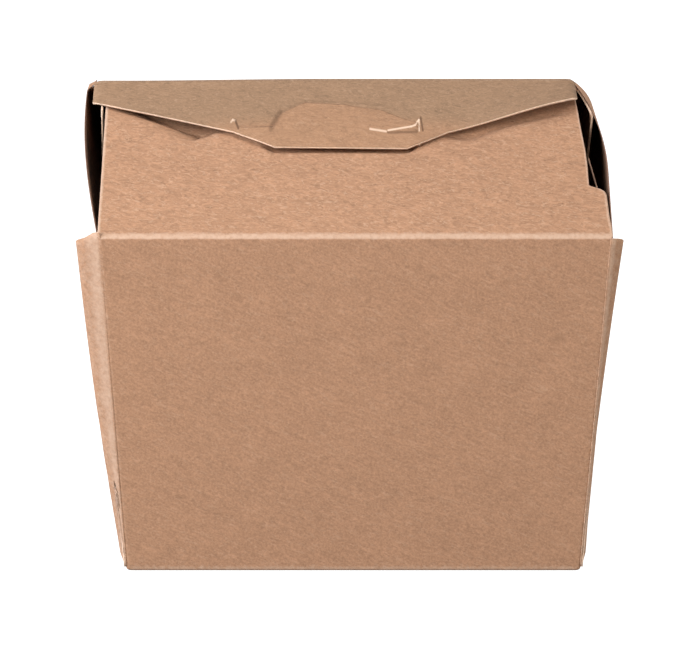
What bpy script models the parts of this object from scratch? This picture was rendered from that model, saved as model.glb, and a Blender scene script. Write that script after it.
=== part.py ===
"""A shut noodle takeaway box, folded from one blank of plain brown unbleached paperboard.

All lengths are in metres, +Z is up and the front of the box faces -Y. The origin lies on the table,
under the middle of the box. The tub is solid, because a shut box shows nothing of its inside. The
flaps of the roof are sheets of board over a solid gable, and the side flaps stand clear of its ends.
"""
import math

import bmesh
import bpy
from mathutils import Vector

MM = 0.001

# Board
BOARD = 0.45 * MM
BOARD_COLOUR = (0.50, 0.28, 0.165, 1.0)
BOARD_ROUGHNESS = 0.82

# Tub: a tapered rectangular body. The folded box leans a little to the right as it rises.
RIM_HEIGHT = 84.4 * MM
RIM_HALF_WIDTH = 60.0 * MM
RIM_HALF_DEPTH = 46.0 * MM
BASE_HALF_WIDTH = 54.7 * MM
BASE_HALF_DEPTH = 40.1 * MM
RIM_MIDDLE_X = 1.2 * MM
BASE_MIDDLE_X = 0.8 * MM
CORNER_RADIUS = 1.0 * MM
BASE_EDGE_RADIUS = 0.8 * MM
RIM_EDGE_RADIUS = 0.5 * MM
CORNER_STEPS = 3

# Roof: a low gable. The lid comes from the back, rolls over the ridge and ends in a lip.
FRONT_SLOPE = math.radians(32.3)
RIDGE_Y = -2.0 * MM
RIDGE_RADIUS = 3.0 * MM
RIDGE_STEPS = 5
LIP_LIFT = 1.0 * MM
END_INSET = 0.3 * MM
HINGE_DEPTH = 1.2 * MM
HINGE_INSET = 0.5 * MM
EMBED = 0.22 * MM

# Front flap: its right side has a rounded shoulder, its left side is straight.
FLAP_LEFT = -58.8 * MM
FLAP_TOP = 46.0 * MM
FLAP_SHOULDER_WIDE = 60.5 * MM
FLAP_SHOULDER_NARROW = 56.4 * MM
FLAP_SHOULDER_START = 13.8 * MM
FLAP_SHOULDER_END = 17.2 * MM
FLAP_TOP_RIGHT = 54.4 * MM

# Lid: its ends at the ridge, and the front edge of its lip measured up the slope from the rim.
LID_LEFT = -62.0 * MM
LID_RIGHT = 54.6 * MM
LIP_EDGE = (
    (-62.0 * MM, 44.2 * MM),
    (-28.0 * MM, 34.0 * MM),
    (-17.9 * MM, 28.8 * MM),
    (13.6 * MM, 28.4 * MM),
    (23.5 * MM, 33.9 * MM),
    (54.6 * MM, 43.4 * MM),
)
LIP_CURL = 2.8 * MM
LIP_CURL_START = 24.0 * MM
LIP_CURL_END = 50.0 * MM

# Tongue of the front flap, which comes up through a slot in the lip and lies on it.
SLOT_UP = 35.4 * MM
SLOT_LEFT = -27.0 * MM
SLOT_RIGHT = 17.0 * MM
SLOT_WIDTH = 0.9 * MM
TONGUE_SIDES = (
    (30.0 * MM, -18.6 * MM, 16.8 * MM),
    (34.8 * MM, -18.6 * MM, 16.8 * MM),
    (36.4 * MM, -18.2 * MM, 16.2 * MM),
    (39.3 * MM, -16.7 * MM, 11.0 * MM),
    (40.6 * MM, -15.1 * MM, 8.0 * MM),
    (42.0 * MM, -12.9 * MM, 2.6 * MM),
    (43.2 * MM, -11.0 * MM, -1.2 * MM),
)
TONGUE_UNDER = -0.1 * MM
TONGUE_OVER = 1.4 * MM

# Side flaps: how far they stand out from the rim, by height above it.
SIDE_FLAP_TOP = 27.0 * MM
LEFT_BOW = 5.0 * MM
LEFT_BOW_PEAK = 0.85
RIGHT_STRAIGHT = 11.5 * MM
RIGHT_LEAN_RADIUS = 22.0 * MM
SIDE_FLAP_STEPS = 10

# Wings of the lid, folded down just inside the side flaps.
WING_LEFT_X = -60.6 * MM
WING_RIGHT_FOOT_X = 57.4 * MM
WING_RIGHT_LEAN = 0.07
WING_GAP = 0.9 * MM
WING_FRONT_Y = -2.0 * MM
WING_BACK_Y = 36.0 * MM
WING_STEPS = 6

# Ears: the corner webs, folded flat against the outside of the two short walls.
EAR_LENGTH = 40.0 * MM
EAR_ANGLE = math.radians(41.0)
EAR_FOOT_HEIGHT = 5.0 * MM
EAR_FLAT = 0.9 * MM
EAR_PEAK = 0.2
EAR_TOP_SLOPE = math.radians(19.0)
EAR_BULGE = {
    "front_left": 5.2 * MM,
    "front_right": 2.8 * MM,
    "back_left": 4.0 * MM,
    "back_right": 2.6 * MM,
}
EAR_ROWS = 7
EAR_COLUMNS = (0.0, 0.08, 0.2, 0.4, 0.65, 0.92, 1.0)


def mix(start, end, part):
    """The value a given part of the way from start to end."""
    return start + (end - start) * part


def smooth(part):
    """Ease from 0 to 1 with level ends."""
    part = min(max(part, 0.0), 1.0)
    return part * part * (3.0 - 2.0 * part)


def along(points, x):
    """The value at x of a line through (x, value) points in rising x."""
    for (x0, y0), (x1, y1) in zip(points, points[1:]):
        if x <= x1:
            return mix(y0, y1, (x - x0) / (x1 - x0))
    return points[-1][1]


def front_point(x, up, lift=0.0):
    """A point of the front slope: across, up the slope from the rim, and off its surface."""
    y = -RIM_HALF_DEPTH + up * math.cos(FRONT_SLOPE) - lift * math.sin(FRONT_SLOPE)
    z = RIM_HEIGHT + up * math.sin(FRONT_SLOPE) + lift * math.cos(FRONT_SLOPE)
    return Vector((x, y, z))


def ridge_apex():
    """Where the straight lines of the lid would cross if its ridge were sharp."""
    rise = RIM_HEIGHT + LIP_LIFT / math.cos(FRONT_SLOPE)
    z = rise + (RIM_HALF_DEPTH + RIDGE_Y) * math.tan(FRONT_SLOPE)
    return Vector((0.0, RIDGE_Y, z))


BACK_SLOPE = math.atan2(ridge_apex().z - RIM_HEIGHT, RIM_HALF_DEPTH - RIDGE_Y)
BACK_LENGTH = (RIM_HALF_DEPTH - RIDGE_Y) / math.cos(BACK_SLOPE)
FRONT_LENGTH = (RIM_HALF_DEPTH + RIDGE_Y + LIP_LIFT * math.sin(FRONT_SLOPE)) / math.cos(FRONT_SLOPE)
RIDGE_TANGENT = RIDGE_RADIUS * math.tan((FRONT_SLOPE + BACK_SLOPE) / 2)


def back_point(x, up, lift=0.0):
    """A point of the back slope: across, up the slope from the back rim, and off its surface."""
    y = RIM_HALF_DEPTH - up * math.cos(BACK_SLOPE) + lift * math.sin(BACK_SLOPE)
    z = RIM_HEIGHT + up * math.sin(BACK_SLOPE) + lift * math.cos(BACK_SLOPE)
    return Vector((x, y, z))


def ridge_point(x, part):
    """A point of the rolled ridge, from the back slope at part 0 to the front slope at part 1."""
    reach = RIDGE_RADIUS / math.cos((FRONT_SLOPE + BACK_SLOPE) / 2)
    lean = (BACK_SLOPE - FRONT_SLOPE) / 2
    centre = ridge_apex() - Vector((0.0, math.sin(lean), math.cos(lean))) * reach
    angle = mix(BACK_SLOPE, -FRONT_SLOPE, part)
    return centre + Vector((x, RIDGE_RADIUS * math.sin(angle), RIDGE_RADIUS * math.cos(angle)))


def clear_scene():
    """Remove what the scene holds."""
    for item in list(bpy.data.objects):
        bpy.data.objects.remove(item, do_unlink=True)


def board_material():
    """Plain brown unbleached paperboard, matt."""
    material = bpy.data.materials.new("brown_board")
    material.use_nodes = True
    shader = material.node_tree.nodes["Principled BSDF"]
    shader.inputs["Base Color"].default_value = BOARD_COLOUR
    shader.inputs["Roughness"].default_value = BOARD_ROUGHNESS
    shader.inputs["Metallic"].default_value = 0.0
    return material


def add_object(name, mesh_data):
    """Put a bmesh into the scene as a named object."""
    mesh = bpy.data.meshes.new(name)
    mesh_data.to_mesh(mesh)
    mesh_data.free()
    item = bpy.data.objects.new(name, mesh)
    bpy.context.scene.collection.objects.link(item)
    return item


def sheet(name, rows, outward):
    """A sheet of board: a grid of points on its outer face, given its thickness inwards."""
    grid = bmesh.new()
    vertices = [[grid.verts.new(point) for point in row] for row in rows]
    for lower, upper in zip(vertices, vertices[1:]):
        for k in range(len(lower) - 1):
            grid.faces.new((lower[k], lower[k + 1], upper[k + 1], upper[k]))
    grid.normal_update()
    facing = sum((face.normal * face.calc_area() for face in grid.faces), Vector())
    if facing.dot(Vector(outward)) < 0.0:
        bmesh.ops.reverse_faces(grid, faces=grid.faces)
    item = add_object(name, grid)
    solidify = item.modifiers.new("board_thickness", "SOLIDIFY")
    solidify.thickness = BOARD
    solidify.offset = -1.0
    solidify.use_even_offset = True
    return item


def loft(name, rings):
    """A closed solid through rings of points, with flat ends."""
    body = bmesh.new()
    vertices = [[body.verts.new(point) for point in ring] for ring in rings]
    count = len(rings[0])
    for lower, upper in zip(vertices, vertices[1:]):
        for k in range(count):
            after = (k + 1) % count
            body.faces.new((lower[k], lower[after], upper[after], upper[k]))
    body.faces.new(list(reversed(vertices[0])))
    body.faces.new(vertices[-1])
    bmesh.ops.recalc_face_normals(body, faces=body.faces)
    return add_object(name, body)


def tub_section(height, inset):
    """A level cut through the tub: a rectangle with rounded corners."""
    part = height / RIM_HEIGHT
    half_width = mix(BASE_HALF_WIDTH, RIM_HALF_WIDTH, part) - inset
    half_depth = mix(BASE_HALF_DEPTH, RIM_HALF_DEPTH, part) - inset
    middle = mix(BASE_MIDDLE_X, RIM_MIDDLE_X, part)
    ring = []
    for corner, (side_x, side_y) in enumerate(((1, 1), (-1, 1), (-1, -1), (1, -1))):
        for step in range(CORNER_STEPS + 1):
            angle = (corner + step / CORNER_STEPS) * math.pi / 2
            x = middle + side_x * (half_width - CORNER_RADIUS) + CORNER_RADIUS * math.cos(angle)
            y = side_y * (half_depth - CORNER_RADIUS) + CORNER_RADIUS * math.sin(angle)
            ring.append((x, y, height))
    return ring


def make_tub():
    """The tub, a solid with softened base and rim edges."""
    rings = [
        tub_section(0.0, BASE_EDGE_RADIUS),
        tub_section(BASE_EDGE_RADIUS * 0.3, BASE_EDGE_RADIUS * 0.3),
        tub_section(BASE_EDGE_RADIUS, 0.0),
        tub_section(RIM_HEIGHT - RIM_EDGE_RADIUS, 0.0),
        tub_section(RIM_HEIGHT, RIM_EDGE_RADIUS * 0.7),
    ]
    return loft("tub", rings)


def make_gable():
    """The filled roof, just under the two slopes, its ends just short of the edges of the flaps."""
    foot = RIM_HEIGHT - HINGE_DEPTH
    top_z = ridge_point(0.0, 0.5).z - BOARD - EMBED
    front_up = FLAP_TOP - 2 * EMBED
    outline = (
        (FLAP_SHOULDER_NARROW, -RIM_HALF_DEPTH + 2 * HINGE_DEPTH, foot),
        (FLAP_SHOULDER_NARROW, *front_point(0.0, HINGE_DEPTH, -EMBED).yz),
        (FLAP_SHOULDER_NARROW, *front_point(0.0, FLAP_SHOULDER_END, -EMBED).yz),
        (FLAP_TOP_RIGHT, *front_point(0.0, front_up, -EMBED).yz),
        (FLAP_TOP_RIGHT, ridge_point(0.0, 0.7).y, top_z),
        (FLAP_TOP_RIGHT, *back_point(0.0, BACK_LENGTH - RIDGE_TANGENT, -EMBED).yz),
        (FLAP_SHOULDER_NARROW, *back_point(0.0, HINGE_DEPTH, -EMBED).yz),
        (FLAP_SHOULDER_NARROW, RIM_HALF_DEPTH - 2 * HINGE_DEPTH, foot),
    )
    left = [(FLAP_LEFT + END_INSET, y, z) for right, y, z in outline]
    right = [(right - END_INSET, y, z) for right, y, z in outline]
    return loft("gable", [left, right])


def flap_right(up):
    """The right edge of the front flap, with its rounded shoulder."""
    rim_right = RIM_MIDDLE_X + RIM_HALF_WIDTH
    if up <= FLAP_SHOULDER_START:
        return mix(rim_right, FLAP_SHOULDER_WIDE, up / FLAP_SHOULDER_START)
    if up < FLAP_SHOULDER_END:
        part = (up - FLAP_SHOULDER_START) / (FLAP_SHOULDER_END - FLAP_SHOULDER_START)
        return mix(FLAP_SHOULDER_WIDE, FLAP_SHOULDER_NARROW, 1.0 - math.sqrt(1.0 - part * part))
    part = (up - FLAP_SHOULDER_END) / (FLAP_TOP - FLAP_SHOULDER_END)
    return mix(FLAP_SHOULDER_NARROW, FLAP_TOP_RIGHT, part)


def make_front_flap():
    """The front flap, hinged along the front rim and lying up the slope to under the lip."""
    columns = (0.0, 0.25, 0.5, 0.75, 1.0)
    shoulder = FLAP_SHOULDER_END - FLAP_SHOULDER_START
    heights = [HINGE_INSET, 5.0 * MM]
    heights += [FLAP_SHOULDER_START + shoulder * part for part in (0.0, 0.4, 0.7, 0.9, 1.0)]
    heights += [24.0 * MM, 31.0 * MM, 38.0 * MM, FLAP_TOP]
    hinge_y = -RIM_HALF_DEPTH + HINGE_INSET
    hinge_z = RIM_HEIGHT - HINGE_DEPTH
    rows = [[(mix(FLAP_LEFT, flap_right(0.0) - HINGE_INSET, part), hinge_y, hinge_z) for part in columns]]
    for up in heights:
        rows.append([front_point(mix(FLAP_LEFT, flap_right(up), part), up) for part in columns])
    return sheet("front_flap", rows, (0.0, -1.0, 1.0))


def lip_lift(x, part):
    """How far the lip stands off the front slope, a given part of the way from ridge to edge."""
    curl = smooth((x - LIP_CURL_START) / (LIP_CURL_END - LIP_CURL_START))
    return LIP_LIFT + LIP_CURL * curl * part


def make_lid():
    """The lid: up the back slope, over the ridge, and down the front slope as the lip."""
    columns = [x for x, up in LIP_EDGE]
    columns += [-45.0 * MM, -2.0 * MM, 30.0 * MM, 37.0 * MM, 43.0 * MM, 49.0 * MM]
    columns.sort()
    widths = [(x - LID_LEFT) / (LID_RIGHT - LID_LEFT) for x in columns]
    rim_left = RIM_MIDDLE_X - RIM_HALF_WIDTH + HINGE_INSET
    rim_right = RIM_MIDDLE_X + RIM_HALF_WIDTH - HINGE_INSET
    at_rim = [mix(rim_left, rim_right, width) for width in widths]
    hinge_y = RIM_HALF_DEPTH - HINGE_INSET
    rows = [[(x, hinge_y, RIM_HEIGHT - HINGE_DEPTH) for x in at_rim]]
    back_top = BACK_LENGTH - RIDGE_TANGENT
    for part in (0.0, 0.33, 0.66, 1.0):
        up = mix(HINGE_INSET, back_top, part)
        rows.append([back_point(mix(rim, ridge, part), up) for rim, ridge in zip(at_rim, columns)])
    for step in range(1, RIDGE_STEPS):
        rows.append([ridge_point(x, step / RIDGE_STEPS) for x in columns])
    front_top = FRONT_LENGTH - RIDGE_TANGENT
    for part in (0.0, 0.3, 0.6, 1.0):
        rows.append([
            front_point(x, mix(front_top, along(LIP_EDGE, x), part), lip_lift(x, part))
            for x in columns
        ])
    return sheet("lid", rows, (0.0, 0.0, 1.0))


def cut_slot(lid):
    """Cut the long slot that the tongue comes up through."""
    start = SLOT_UP - SLOT_WIDTH / 2
    end = SLOT_UP + SLOT_WIDTH / 2
    rings = []
    for x in (SLOT_LEFT, SLOT_RIGHT):
        corners = ((start, 0.3 * MM), (end, 0.3 * MM), (end, 2.0 * MM), (start, 2.0 * MM))
        rings.append([front_point(x, up, lift) for up, lift in corners])
    cutter = loft("slot_cutter", rings)
    cutter.hide_render = True
    cutter.display_type = "WIRE"
    boolean = lid.modifiers.new("slot", "BOOLEAN")
    boolean.operation = "DIFFERENCE"
    boolean.solver = "EXACT"
    boolean.object = cutter
    return cutter


def make_tongue():
    """The tongue, from under the lip up through the slot and flat on the lip."""
    columns = (0.0, 0.25, 0.5, 0.75, 1.0)
    rows = []
    for up, left, right in TONGUE_SIDES:
        rise = smooth((up - 33.6 * MM) / (3.0 * MM))
        lift = mix(TONGUE_UNDER, TONGUE_OVER, rise)
        rows.append([front_point(mix(left, right, part), up, lift) for part in columns])
    return sheet("tongue", rows, (0.0, -1.0, 1.0))


def left_flap_x(rise):
    """The left side flap bows outwards all the way up."""
    peak = SIDE_FLAP_TOP * LEFT_BOW_PEAK
    return RIM_MIDDLE_X - RIM_HALF_WIDTH - LEFT_BOW * math.sin(rise / peak * math.pi / 2)


def right_flap_x(rise):
    """The right side flap stands up straight and then leans in over a wide bend."""
    bend = max(rise - RIGHT_STRAIGHT, 0.0)
    lean = RIGHT_LEAN_RADIUS - math.sqrt(RIGHT_LEAN_RADIUS ** 2 - bend ** 2)
    return RIM_MIDDLE_X + RIM_HALF_WIDTH - lean


def make_side_flap(name, flap_x, outward):
    """A side flap, hinged on a short rim, with both edges cut to the slopes of the roof."""
    rows = []
    for step in range(SIDE_FLAP_STEPS + 1):
        rise = mix(-HINGE_DEPTH, SIDE_FLAP_TOP, step / SIDE_FLAP_STEPS)
        x = flap_x(max(rise, 0.0)) - math.copysign(HINGE_INSET * (rise < 0.0), outward)
        front = -RIM_HALF_DEPTH + max(rise, HINGE_DEPTH) / math.tan(FRONT_SLOPE)
        back = RIM_HALF_DEPTH - max(rise, HINGE_DEPTH) / math.tan(BACK_SLOPE)
        z = RIM_HEIGHT + rise
        rows.append([(x, mix(front, back, part), z) for part in (0.0, 0.5, 1.0)])
    return sheet(name, rows, (outward, 0.0, 0.0))


def left_wing_x(rise):
    """The left wing hangs upright and keeps clear of the foot of the side flap."""
    return max(WING_LEFT_X, left_flap_x(rise) + WING_GAP)


def right_wing_x(rise):
    """The right wing leans out a little and keeps under the top of the side flap."""
    return min(WING_RIGHT_FOOT_X + WING_RIGHT_LEAN * rise, right_flap_x(rise) - WING_GAP)


def make_wing(name, wing_x, outward):
    """A wing of the lid, folded down inside a side flap, with its front edge at the ridge."""
    rows = []
    for part in (0.0, 0.5, 1.0):
        y = mix(WING_FRONT_Y, WING_BACK_Y, part)
        up = (RIM_HALF_DEPTH - y) / math.cos(BACK_SLOPE)
        top = back_point(0.0, min(up, BACK_LENGTH - RIDGE_TANGENT), -EMBED).z - RIM_HEIGHT
        rises = [mix(-EMBED, top, step / WING_STEPS) for step in range(WING_STEPS + 1)]
        rows.append([(wing_x(max(rise, 0.0)), y, RIM_HEIGHT + rise) for rise in rises])
    return sheet(name, rows, (outward, 0.0, 0.0))


def ear_stand_off(part, bulge):
    """How far an ear stands off the wall: steep at the corner, then easing back to the fold."""
    power = math.log(0.5) / math.log(EAR_PEAK)
    return EAR_FLAT + (bulge - EAR_FLAT) * math.sin(math.pi * part ** power)


def make_ear(name, bulge):
    """A corner web folded flat against a short wall, sprung open towards the rim."""
    side_x = -1.0 if name.endswith("left") else 1.0
    side_y = -1.0 if name.startswith("front") else 1.0
    rows = []
    for row in range(EAR_ROWS):
        rise = row / (EAR_ROWS - 1)
        height = mix(EAR_FOOT_HEIGHT, RIM_HEIGHT, rise)
        level = height / RIM_HEIGHT
        half_width = mix(BASE_HALF_WIDTH, RIM_HALF_WIDTH, level)
        wall_x = mix(BASE_MIDDLE_X, RIM_MIDDLE_X, level) + side_x * half_width
        corner_y = mix(BASE_HALF_DEPTH, RIM_HALF_DEPTH, level)
        length = min(EAR_LENGTH, height * math.tan(EAR_ANGLE))
        spring = mix(EAR_FLAT, bulge, level)
        points = []
        for part in EAR_COLUMNS:
            off = ear_stand_off(part, spring)
            if row == 0 or part in (0.0, 1.0):
                off = -EMBED * 2
            y = side_y * (corner_y - mix(HINGE_INSET, length, part))
            drop = length * part * math.tan(EAR_TOP_SLOPE) * rise * rise
            points.append((wall_x + side_x * off, y, height - drop))
        rows.append(points)
    return sheet("ear_" + name, rows, (side_x, 0.0, 0.0))


def fuse(name, pieces, material):
    """Join pieces into one closed solid and remove them."""
    group = bpy.data.collections.new("pieces_to_fuse")
    bpy.context.scene.collection.children.link(group)
    body = pieces[0]
    for piece in pieces[1:]:
        bpy.context.scene.collection.objects.unlink(piece)
        group.objects.link(piece)
    boolean = body.modifiers.new("fuse", "BOOLEAN")
    boolean.operation = "UNION"
    boolean.operand_type = "COLLECTION"
    boolean.solver = "EXACT"
    boolean.collection = group
    graph = bpy.context.evaluated_depsgraph_get()
    mesh = bpy.data.meshes.new_from_object(body.evaluated_get(graph))
    mesh.name = name
    mesh.materials.clear()
    mesh.materials.append(material)
    for piece in pieces:
        bpy.data.objects.remove(piece, do_unlink=True)
    bpy.data.collections.remove(group)
    item = bpy.data.objects.new(name, mesh)
    bpy.context.scene.collection.objects.link(item)
    return item


def main():
    clear_scene()
    board = board_material()
    lid = make_lid()
    cutter = cut_slot(lid)
    pieces = [make_tub(), make_gable(), make_front_flap(), lid, make_tongue()]
    pieces.append(make_side_flap("left_flap", left_flap_x, -1.0))
    pieces.append(make_side_flap("right_flap", right_flap_x, 1.0))
    pieces.append(make_wing("left_wing", left_wing_x, -1.0))
    pieces.append(make_wing("right_wing", right_wing_x, 1.0))
    pieces += [make_ear(name, bulge) for name, bulge in EAR_BULGE.items()]
    fuse("noodle_box", pieces, board)
    bpy.data.objects.remove(cutter, do_unlink=True)


main()
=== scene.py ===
# %% [markdown]
# A shut noodle takeaway box, folded from one blank of plain brown unbleached paperboard.
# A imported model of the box, with its true sizes, is loaded first. Every visible piece is then
# built again in fine detail in the same place, so that it can take the model's place.

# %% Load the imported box
import math

import bmesh
import bpy
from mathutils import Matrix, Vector


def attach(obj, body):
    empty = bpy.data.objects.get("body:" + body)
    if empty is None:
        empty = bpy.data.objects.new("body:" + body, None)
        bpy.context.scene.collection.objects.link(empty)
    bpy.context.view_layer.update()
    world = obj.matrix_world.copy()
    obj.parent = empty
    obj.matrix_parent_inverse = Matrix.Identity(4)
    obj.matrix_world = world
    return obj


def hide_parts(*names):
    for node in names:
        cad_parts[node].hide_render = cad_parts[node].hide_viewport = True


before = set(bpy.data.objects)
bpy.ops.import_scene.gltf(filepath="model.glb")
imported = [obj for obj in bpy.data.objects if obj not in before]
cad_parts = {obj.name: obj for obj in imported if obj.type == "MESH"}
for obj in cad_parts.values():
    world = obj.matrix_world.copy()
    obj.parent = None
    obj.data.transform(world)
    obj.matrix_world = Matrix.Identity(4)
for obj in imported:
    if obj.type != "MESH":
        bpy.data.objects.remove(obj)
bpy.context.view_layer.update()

MM = 0.001

# %% [markdown]
# The real box is a tapered tub with a low gable roof. Its sizes are repeated here by name,
# because a folded box is best described as its maker would: by where each fold lies. Lengths on
# the roof are measured up its slopes, starting at the rim.

# %% Sizes of the folded box
BOARD = 0.45 * MM
RIM_HEIGHT = 84.4 * MM
RIM_HALF_WIDTH = 60.0 * MM
RIM_HALF_DEPTH = 46.0 * MM
BASE_HALF_WIDTH = 54.7 * MM
BASE_HALF_DEPTH = 40.1 * MM
RIM_MIDDLE = 1.2 * MM
BASE_MIDDLE = 0.8 * MM
FRONT_SLOPE = math.radians(32.3)
RIDGE_Y = -2.0 * MM
RIDGE_RADIUS = 3.0 * MM
LIP_LIFT = 1.0 * MM
ridge_rise = LIP_LIFT / math.cos(FRONT_SLOPE) + (RIM_HALF_DEPTH + RIDGE_Y) * math.tan(FRONT_SLOPE)
BACK_SLOPE = math.atan2(ridge_rise, RIM_HALF_DEPTH - RIDGE_Y)
BACK_LENGTH = (RIM_HALF_DEPTH - RIDGE_Y) / math.cos(BACK_SLOPE)
FRONT_LENGTH = (RIM_HALF_DEPTH + RIDGE_Y + LIP_LIFT * math.sin(FRONT_SLOPE)) / math.cos(FRONT_SLOPE)
RIDGE_TANGENT = RIDGE_RADIUS * math.tan((FRONT_SLOPE + BACK_SLOPE) / 2)
print("back slope, degrees:", round(math.degrees(BACK_SLOPE), 1))

# %% [markdown]
# Every panel is a grid of points on its outer face. A few small rules are enough to place the
# points: a straight mix of two values, an ease that starts and ends level, and a table read
# between its entries. Written as functions, they can be used for every panel.


# %% Rules for placing points
def mix(start, end, part):
    """The value a given part of the way from start to end."""
    return start + (end - start) * part


def ease(part):
    """Ease from 0 to 1 with level ends."""
    part = min(max(part, 0.0), 1.0)
    return part * part * (3.0 - 2.0 * part)


def read(table, at):
    """The value of a table of (place, value) pairs at any place, in a straight line between."""
    for (place0, value0), (place1, value1) in zip(table, table[1:]):
        if at <= place1:
            return mix(value0, value1, max(at - place0, 0.0) / (place1 - place0))
    return table[-1][1]


def spaced(start, end, step):
    """Evenly spaced values from start to end, about a step apart."""
    count = max(1, round(abs(end - start) / step))
    return [mix(start, end, index / count) for index in range(count + 1)]


def front_point(x, up, lift=0.0):
    """A point of the front slope: across, up the slope from the rim, and off its face."""
    y = -RIM_HALF_DEPTH + up * math.cos(FRONT_SLOPE) - lift * math.sin(FRONT_SLOPE)
    z = RIM_HEIGHT + up * math.sin(FRONT_SLOPE) + lift * math.cos(FRONT_SLOPE)
    return Vector((x, y, z))


def back_point(x, up, lift=0.0):
    """A point of the back slope: across, up the slope from the rim, and off its face."""
    y = RIM_HALF_DEPTH - up * math.cos(BACK_SLOPE) + lift * math.sin(BACK_SLOPE)
    z = RIM_HEIGHT + up * math.sin(BACK_SLOPE) + lift * math.cos(BACK_SLOPE)
    return Vector((x, y, z))


def ridge_point(x, part):
    """A point of the rolled ridge, from the back slope at part 0 to the front slope at part 1."""
    reach = RIDGE_RADIUS / math.cos((FRONT_SLOPE + BACK_SLOPE) / 2)
    lean = (BACK_SLOPE - FRONT_SLOPE) / 2
    centre_y = RIDGE_Y - reach * math.sin(lean)
    centre_z = RIM_HEIGHT + ridge_rise - reach * math.cos(lean)
    angle = mix(BACK_SLOPE, -FRONT_SLOPE, part)
    y = centre_y + RIDGE_RADIUS * math.sin(angle)
    return Vector((x, y, centre_z + RIDGE_RADIUS * math.cos(angle)))

# %% [markdown]
# Unbleached paperboard is pressed from wood fibres. Close up it shows a fine speckle of lighter
# and darker fibres, slow clouds of tone, single fibres that lie on the face as thin pale curls,
# and a wavy grain. Thin dark lines are laid over these as painted shade, for the shadows of fine
# wrinkles in the board. Above the rim, where the board was bent by hand, the grain, the curls and
# the painted wrinkle shadows are strong and the speckle is calm; on the walls it is the other way
# round. All board finishes share these, so they are put in one shader node group, which gives a
# shade, a mask of the curls and a height for the bump. The colours stay in the finishes.


# %% Shared texture of the board
def add_node(tree, kind, **values):
    """Add a shader node and set its inputs and properties by name."""
    node = tree.nodes.new(kind)
    for name, value in values.items():
        if hasattr(node, name):
            setattr(node, name, value)
        else:
            node.inputs[name.replace("_", " ")].default_value = value
    return node


def calculate(tree, operation, first, second=0.0, third=0.0):
    """Add a Math node; each value is a number or a socket."""
    node = tree.nodes.new("ShaderNodeMath")
    node.operation = operation
    for index, value in enumerate((first, second, third)):
        if isinstance(value, bpy.types.NodeSocket):
            tree.links.new(value, node.inputs[index])
        else:
            node.inputs[index].default_value = value
    return node.outputs["Value"]


def noise(tree, place, size, **values):
    """A Noise texture whose grains are about a size across, in millimetres."""
    node = add_node(tree, "ShaderNodeTexNoise", Scale=1.0 / size, **values)
    tree.links.new(place, node.inputs["Vector"])
    return node.outputs["Fac"]


def mix_colours(tree, factor, first, second):
    """Blend two colours by a mask; each colour is a triple or a socket."""
    node = tree.nodes.new("ShaderNodeMix")
    node.data_type = "RGBA"
    tree.links.new(factor, node.inputs["Factor"])
    sockets = [socket for socket in node.inputs if socket.type == "RGBA"]
    for socket, value in zip(sockets, (first, second)):
        if isinstance(value, bpy.types.NodeSocket):
            tree.links.new(value, socket)
        else:
            socket.default_value = (*value, 1.0)
    return [socket for socket in node.outputs if socket.type == "RGBA"][0]


def shader_group(name, inputs, outputs):
    """An empty shader node group with named sockets."""
    group = bpy.data.node_groups.new(name, "ShaderNodeTree")
    for socket_name, kind, value in inputs:
        socket = group.interface.new_socket(socket_name, in_out="INPUT", socket_type=kind)
        if value is not None:
            socket.default_value = value
    for socket_name, kind in outputs:
        group.interface.new_socket(socket_name, in_out="OUTPUT", socket_type=kind)
    return group, group.nodes.new("NodeGroupInput"), group.nodes.new("NodeGroupOutput")


def in_millimetres(tree, place):
    """A place on the box, in millimetres."""
    scale = add_node(tree, "ShaderNodeVectorMath", operation="SCALE")
    scale.inputs["Scale"].default_value = 1.0 / MM
    tree.links.new(place, scale.inputs[0])
    return scale.outputs["Vector"]


def clamp(tree, value):
    """Keep a value between 0 and 1."""
    return calculate(tree, "MINIMUM", calculate(tree, "MAXIMUM", value, 0.0), 1.0)


def times(tree, first, second):
    """Multiply two values."""
    return calculate(tree, "MULTIPLY", first, second)


def thin_curls(tree, place, size, width, gap):
    """Thin wandering lines about a size apart, broken into short curls with gaps between."""
    strand = noise(tree, place, size, Detail=1.0, Roughness=0.4, Distortion=0.9)
    off = calculate(tree, "ABSOLUTE", calculate(tree, "SUBTRACT", strand, 0.5))
    line = calculate(tree, "SUBTRACT", 1.0, calculate(tree, "DIVIDE", off, width))
    broken = noise(tree, place, gap, Detail=1.0)
    broken = clamp(tree, times(tree, calculate(tree, "SUBTRACT", broken, 0.48), 9.0))
    return times(tree, calculate(tree, "MAXIMUM", line, 0.0), broken)


# Sizes of the texture are in millimetres; a curl or a line of painted wrinkle shadow is given by size, width
# and gap.
SPECKLE_SIZE = 0.55
FINE_SIZE = 0.25
CLOUD_SIZE = 7.0
GRAIN_SIZE = 1.8
GRAIN_STRETCH = (2.7, 0.75, 0.75)
GRAIN_SLANT = math.radians(24.0)
WALL_SHARE = 0.45
LONG_CURLS = (1.9, 0.030, 1.5)
SHORT_CURLS = (1.1, 0.045, 1.0)
WRINKLE_SHADOWS = (1.5, 0.035, 1.3)
WRINKLE_SHADOW_DEPTH = 0.22


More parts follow.
